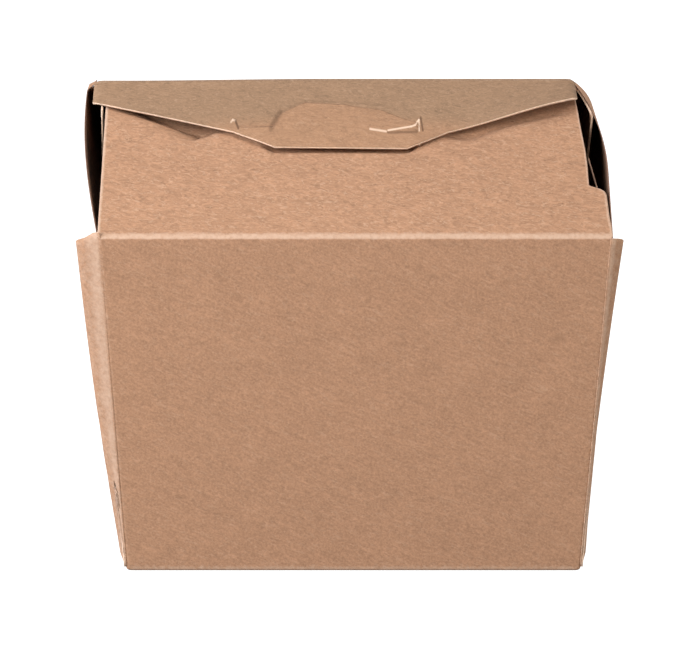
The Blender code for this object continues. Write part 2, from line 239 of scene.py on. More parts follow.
def board_texture_group():
    """Speckle, clouds, grain and curled fibres of paperboard, with thin lines of painted wrinkle shadow."""
    group, given, result = shader_group(
        "board_texture",
        (("Place", "NodeSocketVector", None), ("Speckle", "NodeSocketFloat", 0.1),
         ("Clouds", "NodeSocketFloat", 0.05), ("Grain", "NodeSocketFloat", 0.5)),
        (("Shade", "NodeSocketFloat"), ("Fibres", "NodeSocketFloat"), ("Height", "NodeSocketFloat")),
    )
    place = in_millimetres(group, given.outputs["Place"])
    grain = noise(group, place, SPECKLE_SIZE, Detail=3.0, Roughness=0.65)
    fine = noise(group, place, FINE_SIZE, Detail=2.0, Roughness=0.6)
    cloud = noise(group, place, CLOUD_SIZE, Detail=3.0, Roughness=0.55)
    speckle = calculate(group, "SUBTRACT", calculate(group, "MULTIPLY_ADD", fine, 0.35, grain), 0.675)
    speckle = times(group, speckle, given.outputs["Speckle"])
    split = group.nodes.new("ShaderNodeSeparateXYZ")
    group.links.new(place, split.inputs[0])
    ramp = add_node(group, "ShaderNodeMapRange", From_Min=RIM_HEIGHT / MM, From_Max=RIM_HEIGHT / MM + 2.0)
    ramp.inputs["To Min"].default_value = WALL_SHARE
    group.links.new(split.outputs["Z"], ramp.inputs["Value"])
    above_rim = ramp.outputs["Result"]
    calm = calculate(group, "SUBTRACT", 1.0 + WALL_SHARE, above_rim)
    clouds = times(group, calculate(group, "SUBTRACT", cloud, 0.5), given.outputs["Clouds"])
    shade = calculate(group, "MULTIPLY_ADD", speckle, calm, calculate(group, "ADD", clouds, 1.0))
    lay = add_node(group, "ShaderNodeMapping", vector_type="TEXTURE", Scale=GRAIN_STRETCH)
    lay.inputs["Rotation"].default_value = (0.0, GRAIN_SLANT, 0.0)
    group.links.new(place, lay.inputs["Vector"])
    laid = lay.outputs["Vector"]
    grain_lines = noise(group, laid, GRAIN_SIZE, Detail=2.0, Roughness=0.55, Distortion=2.2)
    grain_lines = times(group, calculate(group, "SUBTRACT", grain_lines, 0.5), above_rim)
    shade = calculate(group, "MULTIPLY_ADD", grain_lines, given.outputs["Grain"], shade)
    curls = calculate(
        group, "MAXIMUM", thin_curls(group, laid, *LONG_CURLS), thin_curls(group, laid, *SHORT_CURLS))
    fibres = times(group, curls, above_rim)
    # Thin dark lines of painted shade, for the shadows of fine wrinkles; they darken the colour only.
    wrinkle_shadows = times(group, thin_curls(group, laid, *WRINKLE_SHADOWS), WRINKLE_SHADOW_DEPTH)
    shade = calculate(group, "SUBTRACT", shade, times(group, wrinkle_shadows, above_rim))
    height = calculate(group, "MULTIPLY_ADD", grain_lines, 2.0, times(group, grain, calm))
    height = calculate(group, "MULTIPLY_ADD", fibres, 0.6, height)
    group.links.new(shade, result.inputs["Shade"])
    group.links.new(fibres, result.inputs["Fibres"])
    group.links.new(height, result.inputs["Height"])
    return group


board_texture = board_texture_group()
print("board texture group has", len(board_texture.nodes), "nodes")

# %% [markdown]
# A fold rubs on whatever the box touches, and its outer fibres lie loose and pale. The wear of
# a fold is never even, so this group breaks the wear value of the points with a noise.


# %% Shared wear along the folds
PATCH_SIZE = 1.3


def fold_wear_group():
    """A broken mask of pale fibres from the wear value of the points."""
    group, given, result = shader_group(
        "fold_wear",
        (("Place", "NodeSocketVector", None), ("Wear", "NodeSocketFloat", 0.0),
         ("Breaks", "NodeSocketFloat", 1.7)),
        (("Mask", "NodeSocketFloat"),),
    )
    place = in_millimetres(group, given.outputs["Place"])
    patches = noise(group, place, PATCH_SIZE, Detail=3.0, Roughness=0.75)
    patches = times(group, calculate(group, "SUBTRACT", patches, 0.5), given.outputs["Breaks"])
    patches = calculate(group, "SUBTRACT", patches, 0.25)
    mask = calculate(group, "MULTIPLY_ADD", given.outputs["Wear"], 1.1, patches)
    group.links.new(clamp(group, mask), result.inputs["Mask"])
    return group


fold_wear_nodes = fold_wear_group()

# %% [markdown]
# Where the tongue was pushed through its slot, the lid has pale torn edges in the cut-edge colour,
# and it is darker in the slits and along the edges of the tongue; these dark lines are painted
# shade. Each mark is thinner than the board, so it is laid on as a mask around a short line, given
# by its two ends seen from the front, in millimetres across and up.


# %% Lines of painted shade and pale torn edges
LINE_FIRMNESS = 1.6


def shade_and_edge_line_group():
    """A soft mask around a line from Start to End, seen from the front, on the front slope only."""
    group, given, result = shader_group(
        "shade_and_edge_line",
        (("Place", "NodeSocketVector", None), ("Start", "NodeSocketVector", None),
         ("End", "NodeSocketVector", None), ("Width", "NodeSocketFloat", 0.3)),
        (("Mask", "NodeSocketFloat"),),
    )

    def vector(operation, first, second, output="Vector"):
        node = add_node(group, "ShaderNodeVectorMath", operation=operation)
        for socket, value in zip(node.inputs, (first, second)):
            if isinstance(value, bpy.types.NodeSocket):
                group.links.new(value, socket)
            else:
                socket.default_value = value
        return node.outputs[output]

    flat = vector("MULTIPLY", given.outputs["Place"], (1.0 / MM, 0.0, 1.0 / MM))
    reach = vector("SUBTRACT", flat, given.outputs["Start"])
    line = vector("SUBTRACT", given.outputs["End"], given.outputs["Start"])
    along = vector("DOT_PRODUCT", reach, line, "Value")
    whole = vector("DOT_PRODUCT", line, line, "Value")
    share = clamp(group, calculate(group, "DIVIDE", along, whole))
    scaled = add_node(group, "ShaderNodeVectorMath", operation="SCALE")
    group.links.new(line, scaled.inputs[0])
    group.links.new(share, scaled.inputs["Scale"])
    off = vector("DISTANCE", reach, scaled.outputs["Vector"], "Value")
    mask = calculate(group, "SUBTRACT", 1.0, calculate(group, "DIVIDE", off, given.outputs["Width"]))
    mask = times(group, calculate(group, "MAXIMUM", mask, 0.0), LINE_FIRMNESS)
    split = group.nodes.new("ShaderNodeSeparateXYZ")
    group.links.new(given.outputs["Place"], split.inputs[0])
    in_front = calculate(group, "LESS_THAN", split.outputs["Y"], RIDGE_Y - RIDGE_RADIUS)
    mask = times(group, mask, in_front)
    group.links.new(calculate(group, "MINIMUM", mask, 1.0), result.inputs["Mask"])
    return group


shade_and_edge_line = shade_and_edge_line_group()

# %% [markdown]
# One function makes all finishes from the three groups; they differ in tone and in how strong
# each effect is. The outer face is warm brown, the lid is a greyer and darker brown, and the inner
# face is a little lighter. A cut edge is palest, because the knife opens the light middle of the
# board, and it is made paler still, a painted highlight for the light that cut edges catch. The
# side flaps take a deep brown of painted shade inside and along their edges, because the
# photograph shows them in deep shade there, more than the soft lights of this scene give.

# %% Board finishes
OUTER_COLOUR = (0.404, 0.216, 0.122)
LID_COLOUR = (0.300, 0.178, 0.102)
WARM_COLOUR = (0.364, 0.199, 0.110)
INNER_COLOUR = (0.440, 0.250, 0.155)
# Painted shade: the deep brown of the side flaps' inner faces and edges stands for the shade they lie in.
FLAP_SHADE_COLOUR = (0.220, 0.120, 0.078)
# The cut edge: the pale middle of the board, made paler still as a painted highlight.
EDGE_COLOUR = (0.800, 0.570, 0.410)
# The pale tone of worn folds, also used for painted light on the ears and along the ridge.
WEAR_AND_LIGHT_COLOUR = (0.600, 0.400, 0.280)
FIBRE_COLOUR = (0.620, 0.400, 0.260)
# Painted shade for the slits of the lid and the edges of the tongue.
SLIT_SHADE_COLOUR = (0.090, 0.042, 0.022)
BOARD_ROUGHNESS = 0.82
BOARD_SHEEN = 0.25


def board_finish(name, colour, second=None, marks=(), speckle=0.85, clouds=0.20, grain=0.9, fibres=0.45,
                 worn=0.85, bump=0.05):
    """A Principled material of paperboard; where a point is warm it takes the second tone."""
    material = bpy.data.materials.new(name)
    material.use_nodes = True
    tree = material.node_tree
    shader = tree.nodes["Principled BSDF"]
    shader.inputs["Roughness"].default_value = BOARD_ROUGHNESS
    shader.inputs["Specular IOR Level"].default_value = BOARD_SHEEN
    place = tree.nodes.new("ShaderNodeTexCoord").outputs["Object"]
    texture = tree.nodes.new("ShaderNodeGroup")
    texture.node_tree = board_texture
    texture.inputs["Speckle"].default_value = speckle
    texture.inputs["Clouds"].default_value = clouds
    texture.inputs["Grain"].default_value = grain
    tree.links.new(place, texture.inputs["Place"])
    wear = tree.nodes.new("ShaderNodeGroup")
    wear.node_tree = fold_wear_nodes
    value = tree.nodes.new("ShaderNodeAttribute")
    value.attribute_name = "wear"
    tree.links.new(place, wear.inputs["Place"])
    tree.links.new(value.outputs["Fac"], wear.inputs["Wear"])
    warm = tree.nodes.new("ShaderNodeAttribute")
    warm.attribute_name = "warm"
    ground = mix_colours(tree, warm.outputs["Fac"], colour, second or colour)
    tone = add_node(tree, "ShaderNodeVectorMath", operation="SCALE")
    tree.links.new(ground, tone.inputs[0])
    tree.links.new(texture.outputs["Shade"], tone.inputs["Scale"])
    last = tone.outputs["Vector"]
    for mask, amount, light in (
        (texture.outputs["Fibres"], fibres, FIBRE_COLOUR), (wear.outputs["Mask"], worn, WEAR_AND_LIGHT_COLOUR),
    ):
        last = mix_colours(tree, times(tree, mask, amount), last, light)
    # Lines of painted shade and pale torn edges, each a mask around a short line.
    for points, width, amount, paint in marks:
        for start, end in zip(points, points[1:]):
            mark = tree.nodes.new("ShaderNodeGroup")
            mark.node_tree = shade_and_edge_line
            tree.links.new(place, mark.inputs["Place"])
            mark.inputs["Start"].default_value = (start[0], 0.0, start[1])
            mark.inputs["End"].default_value = (end[0], 0.0, end[1])
            mark.inputs["Width"].default_value = width
            last = mix_colours(tree, times(tree, mark.outputs["Mask"], amount), last, paint)
    tree.links.new(last, shader.inputs["Base Color"])
    relief = add_node(tree, "ShaderNodeBump", Strength=0.6, Distance=bump * MM)
    tree.links.new(texture.outputs["Height"], relief.inputs["Height"])
    tree.links.new(relief.outputs["Normal"], shader.inputs["Normal"])
    return material


# Each mark: its points, across and up in millimetres, its width, its strength and its tone. The
# dark marks are painted shade in the slits and beside the tongue; the pale ones are torn edges.
LID_SHADE_AND_EDGE_LINES = (
    (((-18.9, 104.1), (-16.8, 106.8)), 0.80, 0.42, SLIT_SHADE_COLOUR),
    (((-16.6, 106.9), (-14.2, 107.9), (-10.8, 108.9)), 0.30, 0.14, SLIT_SHADE_COLOUR),
    (((-10.8, 108.9), (-1.2, 108.75), (8.2, 108.1)), 0.28, 0.16, SLIT_SHADE_COLOUR),
    (((-28.5, 105.1), (-28.1, 105.5), (-27.5, 105.35)), 0.28, 0.55, EDGE_COLOUR),
    (((-27.4, 105.25), (-26.7, 104.0)), 0.34, 0.75, SLIT_SHADE_COLOUR),
    (((-26.5, 104.45), (-18.7, 104.45)), 0.22, 0.10, SLIT_SHADE_COLOUR),
    (((4.8, 104.0), (8.6, 103.55)), 0.28, 0.75, EDGE_COLOUR),
    (((9.1, 103.35), (16.0, 103.45)), 0.34, 0.50, SLIT_SHADE_COLOUR),
    (((16.95, 105.9), (17.4, 103.6)), 0.30, 0.70, SLIT_SHADE_COLOUR),
    (((9.1, 103.75), (14.6, 104.45), (15.6, 104.7), (16.5, 105.5), (16.55, 103.6)), 0.24, 0.85, EDGE_COLOUR),
)
outer_board = board_finish("outer_board", OUTER_COLOUR)
lid_board = board_finish("lid_board", LID_COLOUR, WARM_COLOUR, LID_SHADE_AND_EDGE_LINES, speckle=0.75, grain=0.6, fibres=0.2)
inner_board = board_finish("inner_board", INNER_COLOUR, fibres=0.1)
# Painted shade for the inner faces and edges of the side flaps.
painted_shade_board = board_finish("painted_shade_board", FLAP_SHADE_COLOUR, fibres=0.05)
# Cut edges: pale board, partly a painted highlight.
cut_edge = board_finish("cut_edge", EDGE_COLOUR, speckle=0.5, fibres=0.1, worn=0.0)

# %% [markdown]
# Board is a sheet with two faces and a cut edge. Each panel starts as the outer face alone, and
# the Solidify modifier then gives it its thickness on the inner side. It also gives the inner
# face and the cut edge a material of their own. Each point carries a value named wear, from 0 on
# sound board to 1 where a fold has rubbed the fibres pale, so that the finish can follow the folds.
# On the fronts of the ears and along the ridge the same value also carries painted light.


# %% Helpers that turn points into board
def new_sheet():
    """An empty mesh to build in, with a wear value for each point."""
    build = bmesh.new()
    build.verts.layers.float.new("wear")
    build.verts.layers.float.new("warm")
    return build


def add_row(build, points):
    """Add a row of (place, wear) or (place, wear, warm) points and return its vertices."""
    wear = build.verts.layers.float["wear"]
    warm = build.verts.layers.float["warm"]
    row = []
    for place, rub, *tone in points:
        vertex = build.verts.new(place)
        vertex[wear] = rub
        vertex[warm] = tone[0] if tone else 0.0
        row.append(vertex)
    return row


def join_rows(build, lower, upper):
    """Fill the strip between two rows of vertices with faces."""
    for index in range(len(lower) - 1):
        ring = (lower[index], lower[index + 1], upper[index + 1], upper[index])
        corners = [vertex for place, vertex in enumerate(ring) if vertex not in ring[:place]]
        if len(corners) > 2:
            build.faces.new(corners)


def loft(build, rows, start=None):
    """Add rows of points, fill the strips between them, and return the vertices of the last row."""
    previous = start
    for points in rows:
        row = add_row(build, points)
        if previous:
            join_rows(build, previous, row)
        previous = row
    return previous


def face_out(build, outward):
    """Turn all faces over where the sheet looks the wrong way."""
    build.normal_update()
    facing = sum((face.normal * face.calc_area() for face in build.faces), Vector())
    if facing.dot(Vector(outward)) < 0.0:
        bmesh.ops.reverse_faces(build, faces=build.faces)


def board_object(name, build, outward=None, thickness=BOARD):
    """Make a sheet an object of board: outer face, inner face and cut edge."""
    if outward:
        face_out(build, outward)
    for face in build.faces:
        face.smooth = True
    mesh = bpy.data.meshes.new(name)
    build.to_mesh(mesh)
    build.free()
    panel = bpy.data.objects.new(name, mesh)
    bpy.context.scene.collection.objects.link(panel)
    return thicken(panel, thickness)


def thicken(panel, thickness=BOARD):
    """Give a sheet its thickness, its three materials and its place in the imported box."""
    for material in (outer_board, inner_board, cut_edge):
        panel.data.materials.append(material)
    modifier = panel.modifiers.new("board thickness", "SOLIDIFY")
    modifier.thickness = thickness
    modifier.offset = -1.0
    modifier.material_offset = 1
    modifier.material_offset_rim = 2
    graph = bpy.context.evaluated_depsgraph_get()
    solid = bpy.data.meshes.new_from_object(panel.evaluated_get(graph))
    panel.modifiers.clear()
    panel.data = solid
    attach(panel, "root")
    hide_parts("noodle_box")
    print(panel.name, "has", len(solid.polygons), "faces")
    return panel


def fold_arc(corner, before, after, radius, steps=6):
    """Points of a rounded fold at a corner between two directions, seen from its end."""
    corner = Vector(corner)
    before = Vector(before).normalized()
    after = Vector(after).normalized()
    turn = before.angle(after)
    reach = radius * math.tan(turn / 2)
    start = corner - before * reach
    middle = corner + (after - before).normalized() * radius / math.cos(turn / 2)
    way = math.copysign(turn, before.x * after.y - before.y * after.x)
    spoke = start - middle
    points = []
    for index in range(steps + 1):
        cos, sin = math.cos(way * index / steps), math.sin(way * index / steps)
        turned = Vector((spoke.x * cos - spoke.y * sin, spoke.x * sin + spoke.y * cos))
        points.append(middle + turned)
    return points


# %% [markdown]
# The tub is four walls and a bottom. A real one is folded up from the flat blank; here it is
# lofted through level rings, which keeps the four walls true and the corners rounded. The rings
# lie closer together where the base fold turns. The front row of the last ring is kept, because
# the front flap grows out of it without a seam, as it does in the blank.

# %% Tub
BASE_FOLD = 0.8 * MM
RIM_FOLD = 0.9 * MM
CORNER_FOLD = 0.8 * MM
BASE_RUB = 0.7
CORNER_RUB = 0.3
WALL_LEAN = math.atan2(RIM_HALF_DEPTH - BASE_HALF_DEPTH, RIM_HEIGHT)
WALL_UP = Vector((-math.sin(WALL_LEAN), math.cos(WALL_LEAN)))
SLOPE_UP = Vector((math.cos(FRONT_SLOPE), math.sin(FRONT_SLOPE)))
rim_arc = fold_arc((-RIM_HALF_DEPTH, RIM_HEIGHT), WALL_UP, SLOPE_UP, RIM_FOLD)
ARC_COLUMNS = 4
NEAR_CORNER = (0.0, 0.003, 0.007, 0.013)


def wall_parts(count):
    """Where the columns of a wall stand, closer together near its two ends."""
    middle = [mix(NEAR_CORNER[-1], 1.0 - NEAR_CORNER[-1], index / count) for index in range(1, count)]
    return list(NEAR_CORNER) + middle + [1.0 - part for part in reversed(NEAR_CORNER)]


def fold_wear(distance, spread):
    """Wear beside a fold, from 1 on the fold to 0 at the spread."""
    return ease(1.0 - distance / spread)


def tub_ring(height, inset, columns):
    """The points of one level ring, and where its front wall starts and ends."""
    part = height / RIM_HEIGHT
    half_width = mix(BASE_HALF_WIDTH, RIM_HALF_WIDTH, part) - inset - CORNER_FOLD
    half_depth = mix(BASE_HALF_DEPTH, RIM_HALF_DEPTH, part) - inset - CORNER_FOLD
    middle = mix(BASE_MIDDLE, RIM_MIDDLE, part)
    points = []
    base_rub = BASE_RUB * fold_wear(max(height - BASE_FOLD, 0.0), 1.2 * MM)
    corners = ((1, 1), (-1, 1), (-1, -1), (1, -1))
    for turn, (side_x, side_y) in enumerate(corners):
        for step in range(ARC_COLUMNS + 1):
            angle = (turn + step / ARC_COLUMNS) * math.pi / 2
            x = middle + side_x * half_width + CORNER_FOLD * math.cos(angle)
            y = side_y * half_depth + CORNER_FOLD * math.sin(angle)
            points.append(((x, y, height), CORNER_RUB))
        next_x, next_y = corners[(turn + 1) % 4]
        outward = Vector((math.cos(angle), math.sin(angle), 0.0)) * CORNER_FOLD
        start = Vector((middle + side_x * half_width, side_y * half_depth, height)) + outward
        end = Vector((middle + next_x * half_width, next_y * half_depth, height)) + outward
        if turn == 2:
            front_start = len(points) - 1
        for share in columns[turn % 2][1:-1]:
            points.append((start.lerp(end, share), base_rub))
        if turn == 2:
            front_end = len(points)
    return points, front_start, front_end


tub = new_sheet()
long_wall = wall_parts(104)
short_wall = wall_parts(44)
levels = []
for step in range(6):
    angle = step / 5 * math.pi / 2
    levels.append((BASE_FOLD * (1.0 - math.cos(angle)), BASE_FOLD * (1.0 - math.sin(angle))))
wall_top = rim_arc[0].y
for height in spaced(2 * BASE_FOLD, wall_top - 1.2 * MM, 1.35 * MM) + [wall_top - 0.6 * MM, wall_top]:
    levels.append((height, 0.0))
rings = []
for height, inset in levels:
    points, front_start, front_end = tub_ring(height, inset, (long_wall, short_wall))
    row = add_row(tub, points)
    rings.append(row + row[:1])
for lower, upper in zip(rings, rings[1:]):
    join_rows(tub, lower, upper)
tub.faces.new(list(reversed(rings[0][:-1])))
front_top_row = rings[-1][front_start:front_end + 1]
print("tub:", len(levels), "rings of", len(rings[0]) - 1, "points")

# %% [markdown]
# The front flap folds back along the front rim and lies up the slope until it goes under the
# lid. Its left edge is straight, and its right edge has a rounded shoulder. Under both wings of
# the lid's lip it has been pressed in, so it sinks there and comes up again at a short crease.
# The sinks are written as a depth that depends on the place, and the rows bend with them.

# %% Front flap
FLAP_LEFT = -58.8 * MM
FLAP_TOP = 50.0 * MM
FLAP_STILL = 45.0 * MM
FLAP_WIDE = 60.5 * MM
FLAP_RIGHT = [(up * MM, x * MM) for up, x in (
    (0.0, 61.2), (1.0, 61.2), (4.0, 61.0), (7.0, 60.7), (12.5, 60.45), (13.8, 60.4), (15.1, 60.0),
    (15.9, 59.1), (16.9, 56.6), (17.2, 56.35), (23.0, 56.3), (28.6, 56.05), (33.9, 55.5),
    (38.3, 55.1), (43.7, 54.7), (46.4, 54.4),
)]
LEFT_SINK_LINE = [(x * MM, up * MM) for x, up in ((-58.8, 43.2), (-39.2, 30.6), (-20.0, 19.0))]
LIP_EDGE = [(x * MM, up * MM) for x, up in (
    (-62.0, 44.2), (-28.0, 34.0), (-17.9, 28.8), (13.6, 28.4), (23.5, 33.9), (54.6, 43.4),
)]
GROOVE_DEPTH = [(x * MM, depth * MM) for x, depth in (
    (-60.0, 0.5), (-56.0, 0.8), (-46.0, 1.2), (-35.0, 1.6), (-31.0, 0.6), (-21.0, 0.6), (-17.0, 2.4),
    (13.0, 2.4), (16.0, 0.6), (23.5, 0.3), (28.0, 0.0),
)]
RIGHT_SINK_LINE = [(x * MM, up * MM) for x, up in (
    (21.5, 31.9), (28.9, 30.9), (31.8, 32.2), (34.9, 34.2), (38.5, 35.9), (43.6, 37.6), (54.3, 40.6),
)]
LEFT_SINK = 3.6 * MM
LEFT_SINK_REACH = 7.5 * MM
CREASE_X = -39.2 * MM
CREASE_UP = 30.9 * MM
CREASE_WIDTH = 0.9 * MM
RIGHT_SINK = 1.6 * MM
RIGHT_SINK_REACH = 3.5 * MM
SWELL = 0.16 * MM


def left_sink(x, up):
    """Depth of the dent under the left wing of the lip, cut off by its diagonal crease."""
    below = min(max((up - read(LEFT_SINK_LINE, x)) / LEFT_SINK_REACH, 0.0), 1.0) ** 2.0
    past_crease = (up - CREASE_UP) * 1.7 - (x - CREASE_X) * 0.9
    return LEFT_SINK * below * ease(past_crease / CREASE_WIDTH) * ease((x + 60.5 * MM) / (4 * MM))


def right_sink(x, up):
    """Depth of the dent under the right wing of the lip."""
    below = ease((up - read(RIGHT_SINK_LINE, x)) / RIGHT_SINK_REACH)
    return RIGHT_SINK * below * ease((x - 20.5 * MM) / (5.0 * MM)) * ease((58.0 * MM - x) / (10 * MM))


def lip_groove(x, up):
    """The flap dips where it goes under the lip, most at its left wing and its middle."""
    return read(GROOVE_DEPTH, x) * ease((up - read(LIP_EDGE, x) + 0.9 * MM) / (1.4 * MM))


def flap_swell(x, up):
    """The slow waves of a flap that was folded by hand."""
    wave = math.sin(x / (19 * MM) + 0.6) * math.sin(up / (13 * MM) + 0.4)
    return SWELL * wave * ease(up / (8 * MM))


def flap_x(share, up):
    """Across the flap: the columns near the right edge follow its outline."""
    x = mix(FLAP_LEFT, FLAP_WIDE, share)
    if x > FLAP_STILL:
        x = FLAP_STILL + (x - FLAP_STILL) * (read(FLAP_RIGHT, up) - FLAP_STILL) / (FLAP_WIDE - FLAP_STILL)
    return x


rim_reach = RIM_FOLD * math.tan(WALL_UP.angle(SLOPE_UP) / 2)
flap_heights = spaced(2.2 * MM, 13.0 * MM, 1.2 * MM)
flap_heights += [height * MM for height in (13.8, 14.4, 15.1, 15.5, 15.9, 16.4, 16.9, 17.2)]
flap_heights += spaced(18.2 * MM, FLAP_TOP, 0.8 * MM)
flap_rows = []
for step, fold in enumerate(rim_arc[1:], 1):
    level = step / (len(rim_arc) - 1)
    row = []
    for share, vertex in zip(long_wall, front_top_row):
        x = mix(vertex.co.x, flap_x(share, rim_reach), level)
        row.append(((x, fold.x, fold.y), ease(level * 2.0)))
    flap_rows.append(row)
for up in [rim_reach + 0.5 * MM, rim_reach + 1.0 * MM] + flap_heights:
    row = []
    for share in long_wall:
        x = flap_x(share, up)
        lift = flap_swell(x, up) - left_sink(x, up) - right_sink(x, up) - lip_groove(x, up)
        at_edge = min(share, 1.0 - share) <= NEAR_CORNER[1] + 0.001
        rub = 1.0 if at_edge else fold_wear(up - rim_reach - 0.3 * MM, 1.4 * MM)
        row.append((front_point(x, up, lift), rub))
    flap_rows.append(row)
loft(tub, flap_rows, front_top_row)
print("front flap:", len(flap_rows), "rows of", len(long_wall), "points")

# %% [markdown]
# The two side flaps close the ends of the roof. The left one bows out all the way up and tucks
# in at the very top; the right one stands straight and then leans in. Other pieces lie just
# inside them, so the rules for where they stand come first.

# %% Where the side flaps stand
SIDE_FLAP_TOP = 27.9 * MM
LEFT_BOW = 5.0 * MM
LEFT_BOW_PEAK = 23.0 * MM
LEFT_TUCK = 1.9 * MM
TUCK_START = 26.0 * MM
TUCK_REACH = 1.9 * MM
RIGHT_STRAIGHT = 11.5 * MM
RIGHT_LEAN_RADIUS = 22.0 * MM


def left_flap_x(rise):
    """Where the left side flap stands at a height above the rim."""
    bow = LEFT_BOW * math.sin(rise / LEFT_BOW_PEAK * math.pi / 2)
    return RIM_MIDDLE - RIM_HALF_WIDTH - bow + LEFT_TUCK * ease((rise - TUCK_START) / TUCK_REACH)


def right_flap_x(rise):
    """Where the right side flap stands at a height above the rim."""
    bend = max(rise - RIGHT_STRAIGHT, 0.0)
    lean = RIGHT_LEAN_RADIUS - math.sqrt(RIGHT_LEAN_RADIUS ** 2 - bend ** 2)
    return RIM_MIDDLE + RIM_HALF_WIDTH - lean

# %% [markdown]
# The lid is the top of the back wall: it climbs the back slope, rolls over the ridge, and comes
# down the front as a lip with five straight edges. A slot is cut across the lip for the tongue.
# The columns stand on every corner of the lip, and one row runs along the slot, so both can be
# cut true: in the slot the rows above and below simply don't share their points.

# %% Lid
LID_LEFT = -62.0 * MM
LID_RIGHT = 54.6 * MM
SLOT_UP = 35.4 * MM
SLOT_LEFT = -27.0 * MM
SLOT_RIGHT = 17.0 * MM
LIP_CURL = 2.3 * MM
FLAP_GAP = 0.22 * MM
FLAP_BOARD = 0.2 * MM
LID_THICKNESS = 0.55 * MM
# Paler along the top of the ridge, carried by the wear value: partly wear, partly a painted sheen.
RIDGE_WEAR_AND_SHEEN = 0.3
RIDGE_START = 26.0 * MM
RIDGE_BLEND = 1.4 * MM
kinks = [LID_LEFT, -28.0 * MM, SLOT_LEFT, -17.9 * MM, 13.6 * MM, SLOT_RIGHT, 23.5 * MM, LID_RIGHT]
lid_columns = [LID_LEFT]
for start, end in zip(kinks, kinks[1:]):
    lid_columns += spaced(start, end, 1.1 * MM)[1:]


def lip_lift(x, up):
    """How far the outer face of the lip stands off the front slope."""
    top = FRONT_LENGTH - RIDGE_TANGENT
    down = (top - up) / (top - read(LIP_EDGE, x))
    curl = ease((x - 24.0 * MM) / (26.0 * MM))
    return LIP_LIFT + LIP_CURL * curl * down - ridge_sag(x) * ease(1.0 - (top - up) / (12 * MM))


def warmth(x, up):
    """The lip turns from the greyer tone of the lid to the warm tone near and below the slot."""
    across = ease((x + 40 * MM) / (14 * MM)) * ease((34 * MM - x) / (12 * MM))
    return ease((40.0 * MM - up) / (6.0 * MM)) * across


def slot_height(x):
    """The row that the slot lies on; beyond the slot it runs beside the edge of the lip."""
    return max(SLOT_UP, read(LIP_EDGE, x) + 1.4 * MM)


def lid_left(rise):
    """The left edge of the back slope lies just inside the bowed side flap, up to the ridge."""
    return mix(left_flap_x(rise) + FLAP_GAP, LID_LEFT, ease((rise - RIDGE_START) / RIDGE_BLEND))


def lid_right(rise):
    """The right edge of the back slope lies just inside the leaning side flap."""
    return mix(right_flap_x(rise) - FLAP_GAP, LID_RIGHT, ease((rise - RIDGE_START) / RIDGE_BLEND))


def ridge_sag(x):
    """The ridge hangs a little lower towards its left end, and both its corners are soft."""
    slow = 0.45 * MM * ease((-5.0 * MM - x) / (50 * MM))
    left_end = 0.5 * MM * max(0.0, 1.0 - (x - LID_LEFT) / (1.8 * MM)) ** 2
    right_end = 0.9 * MM * max(0.0, 1.0 - (LID_RIGHT - x) / (1.6 * MM)) ** 2
    return 0.03 * MM + slow + left_end + right_end


lid = new_sheet()
back_corner = (RIM_HALF_DEPTH, RIM_HEIGHT)
back_wall_up = Vector((math.sin(WALL_LEAN), math.cos(WALL_LEAN)))
back_slope_up = Vector((-math.cos(BACK_SLOPE), math.sin(BACK_SLOPE)))
back_arc = fold_arc(back_corner, back_wall_up, back_slope_up, RIM_FOLD)
shares = [(x - LID_LEFT) / (LID_RIGHT - LID_LEFT) for x in lid_columns]
rows = []
for fold in back_arc:
    rows.append([((mix(lid_left(0.0), lid_right(0.0), share), fold.x, fold.y), 1.0) for share in shares])
back_reach = RIM_FOLD * math.tan(back_wall_up.angle(back_slope_up) / 2)
back_top = BACK_LENGTH - RIDGE_TANGENT
for up in [back_reach + 0.6 * MM, back_reach + 1.2 * MM] + spaced(back_reach + 2.6 * MM, back_top, 1.5 * MM):
    rise = up * math.sin(BACK_SLOPE)
    near_ridge = ease((up - back_top + 12.0 * MM) / (12.0 * MM))
    rub = fold_wear(up - back_reach, 1.0 * MM)
    rows.append([
        (back_point(mix(lid_left(rise), lid_right(rise), share), up, -near_ridge * ridge_sag(x)), rub)
        for share, x in zip(shares, lid_columns)
    ])
RIDGE_STEPS = 12
for step in range(1, RIDGE_STEPS):
    part = step / RIDGE_STEPS
    # The ridge takes wear and a painted sheen along its top.
    rub = RIDGE_WEAR_AND_SHEEN * math.sin(math.pi * part)
    rows.append([(ridge_point(x, part) - Vector((0, 0, ridge_sag(x))), rub) for x in lid_columns])
front_top = FRONT_LENGTH - RIDGE_TANGENT
UPPER_ROWS = 16
LOWER_ROWS = 9
for step in range(UPPER_ROWS + 1):
    row = []
    for x in lid_columns:
        up = mix(front_top, slot_height(x), step / UPPER_ROWS)
        row.append((front_point(x, up, lip_lift(x, up)), 0.0, warmth(x, up)))
    rows.append(row)
slot_row = loft(lid, rows)
print("lid down to the slot:", len(rows), "rows of", len(lid_columns), "points")

# %% [markdown]
# Below the slot the lip goes on as a narrow band that lies over the root of the tongue.

# %% Band below the slot
BAND_RISE = 0.45 * MM


def band_lift(x, up):
    """The band bulges where the tongue passes under it."""
    over_tongue = ease((x - SLOT_LEFT) / (9.0 * MM)) * ease((SLOT_RIGHT - x) / (1.5 * MM))
    return lip_lift(x, up) + BAND_RISE * over_tongue * ease((up - 28.0 * MM) / (6.5 * MM))


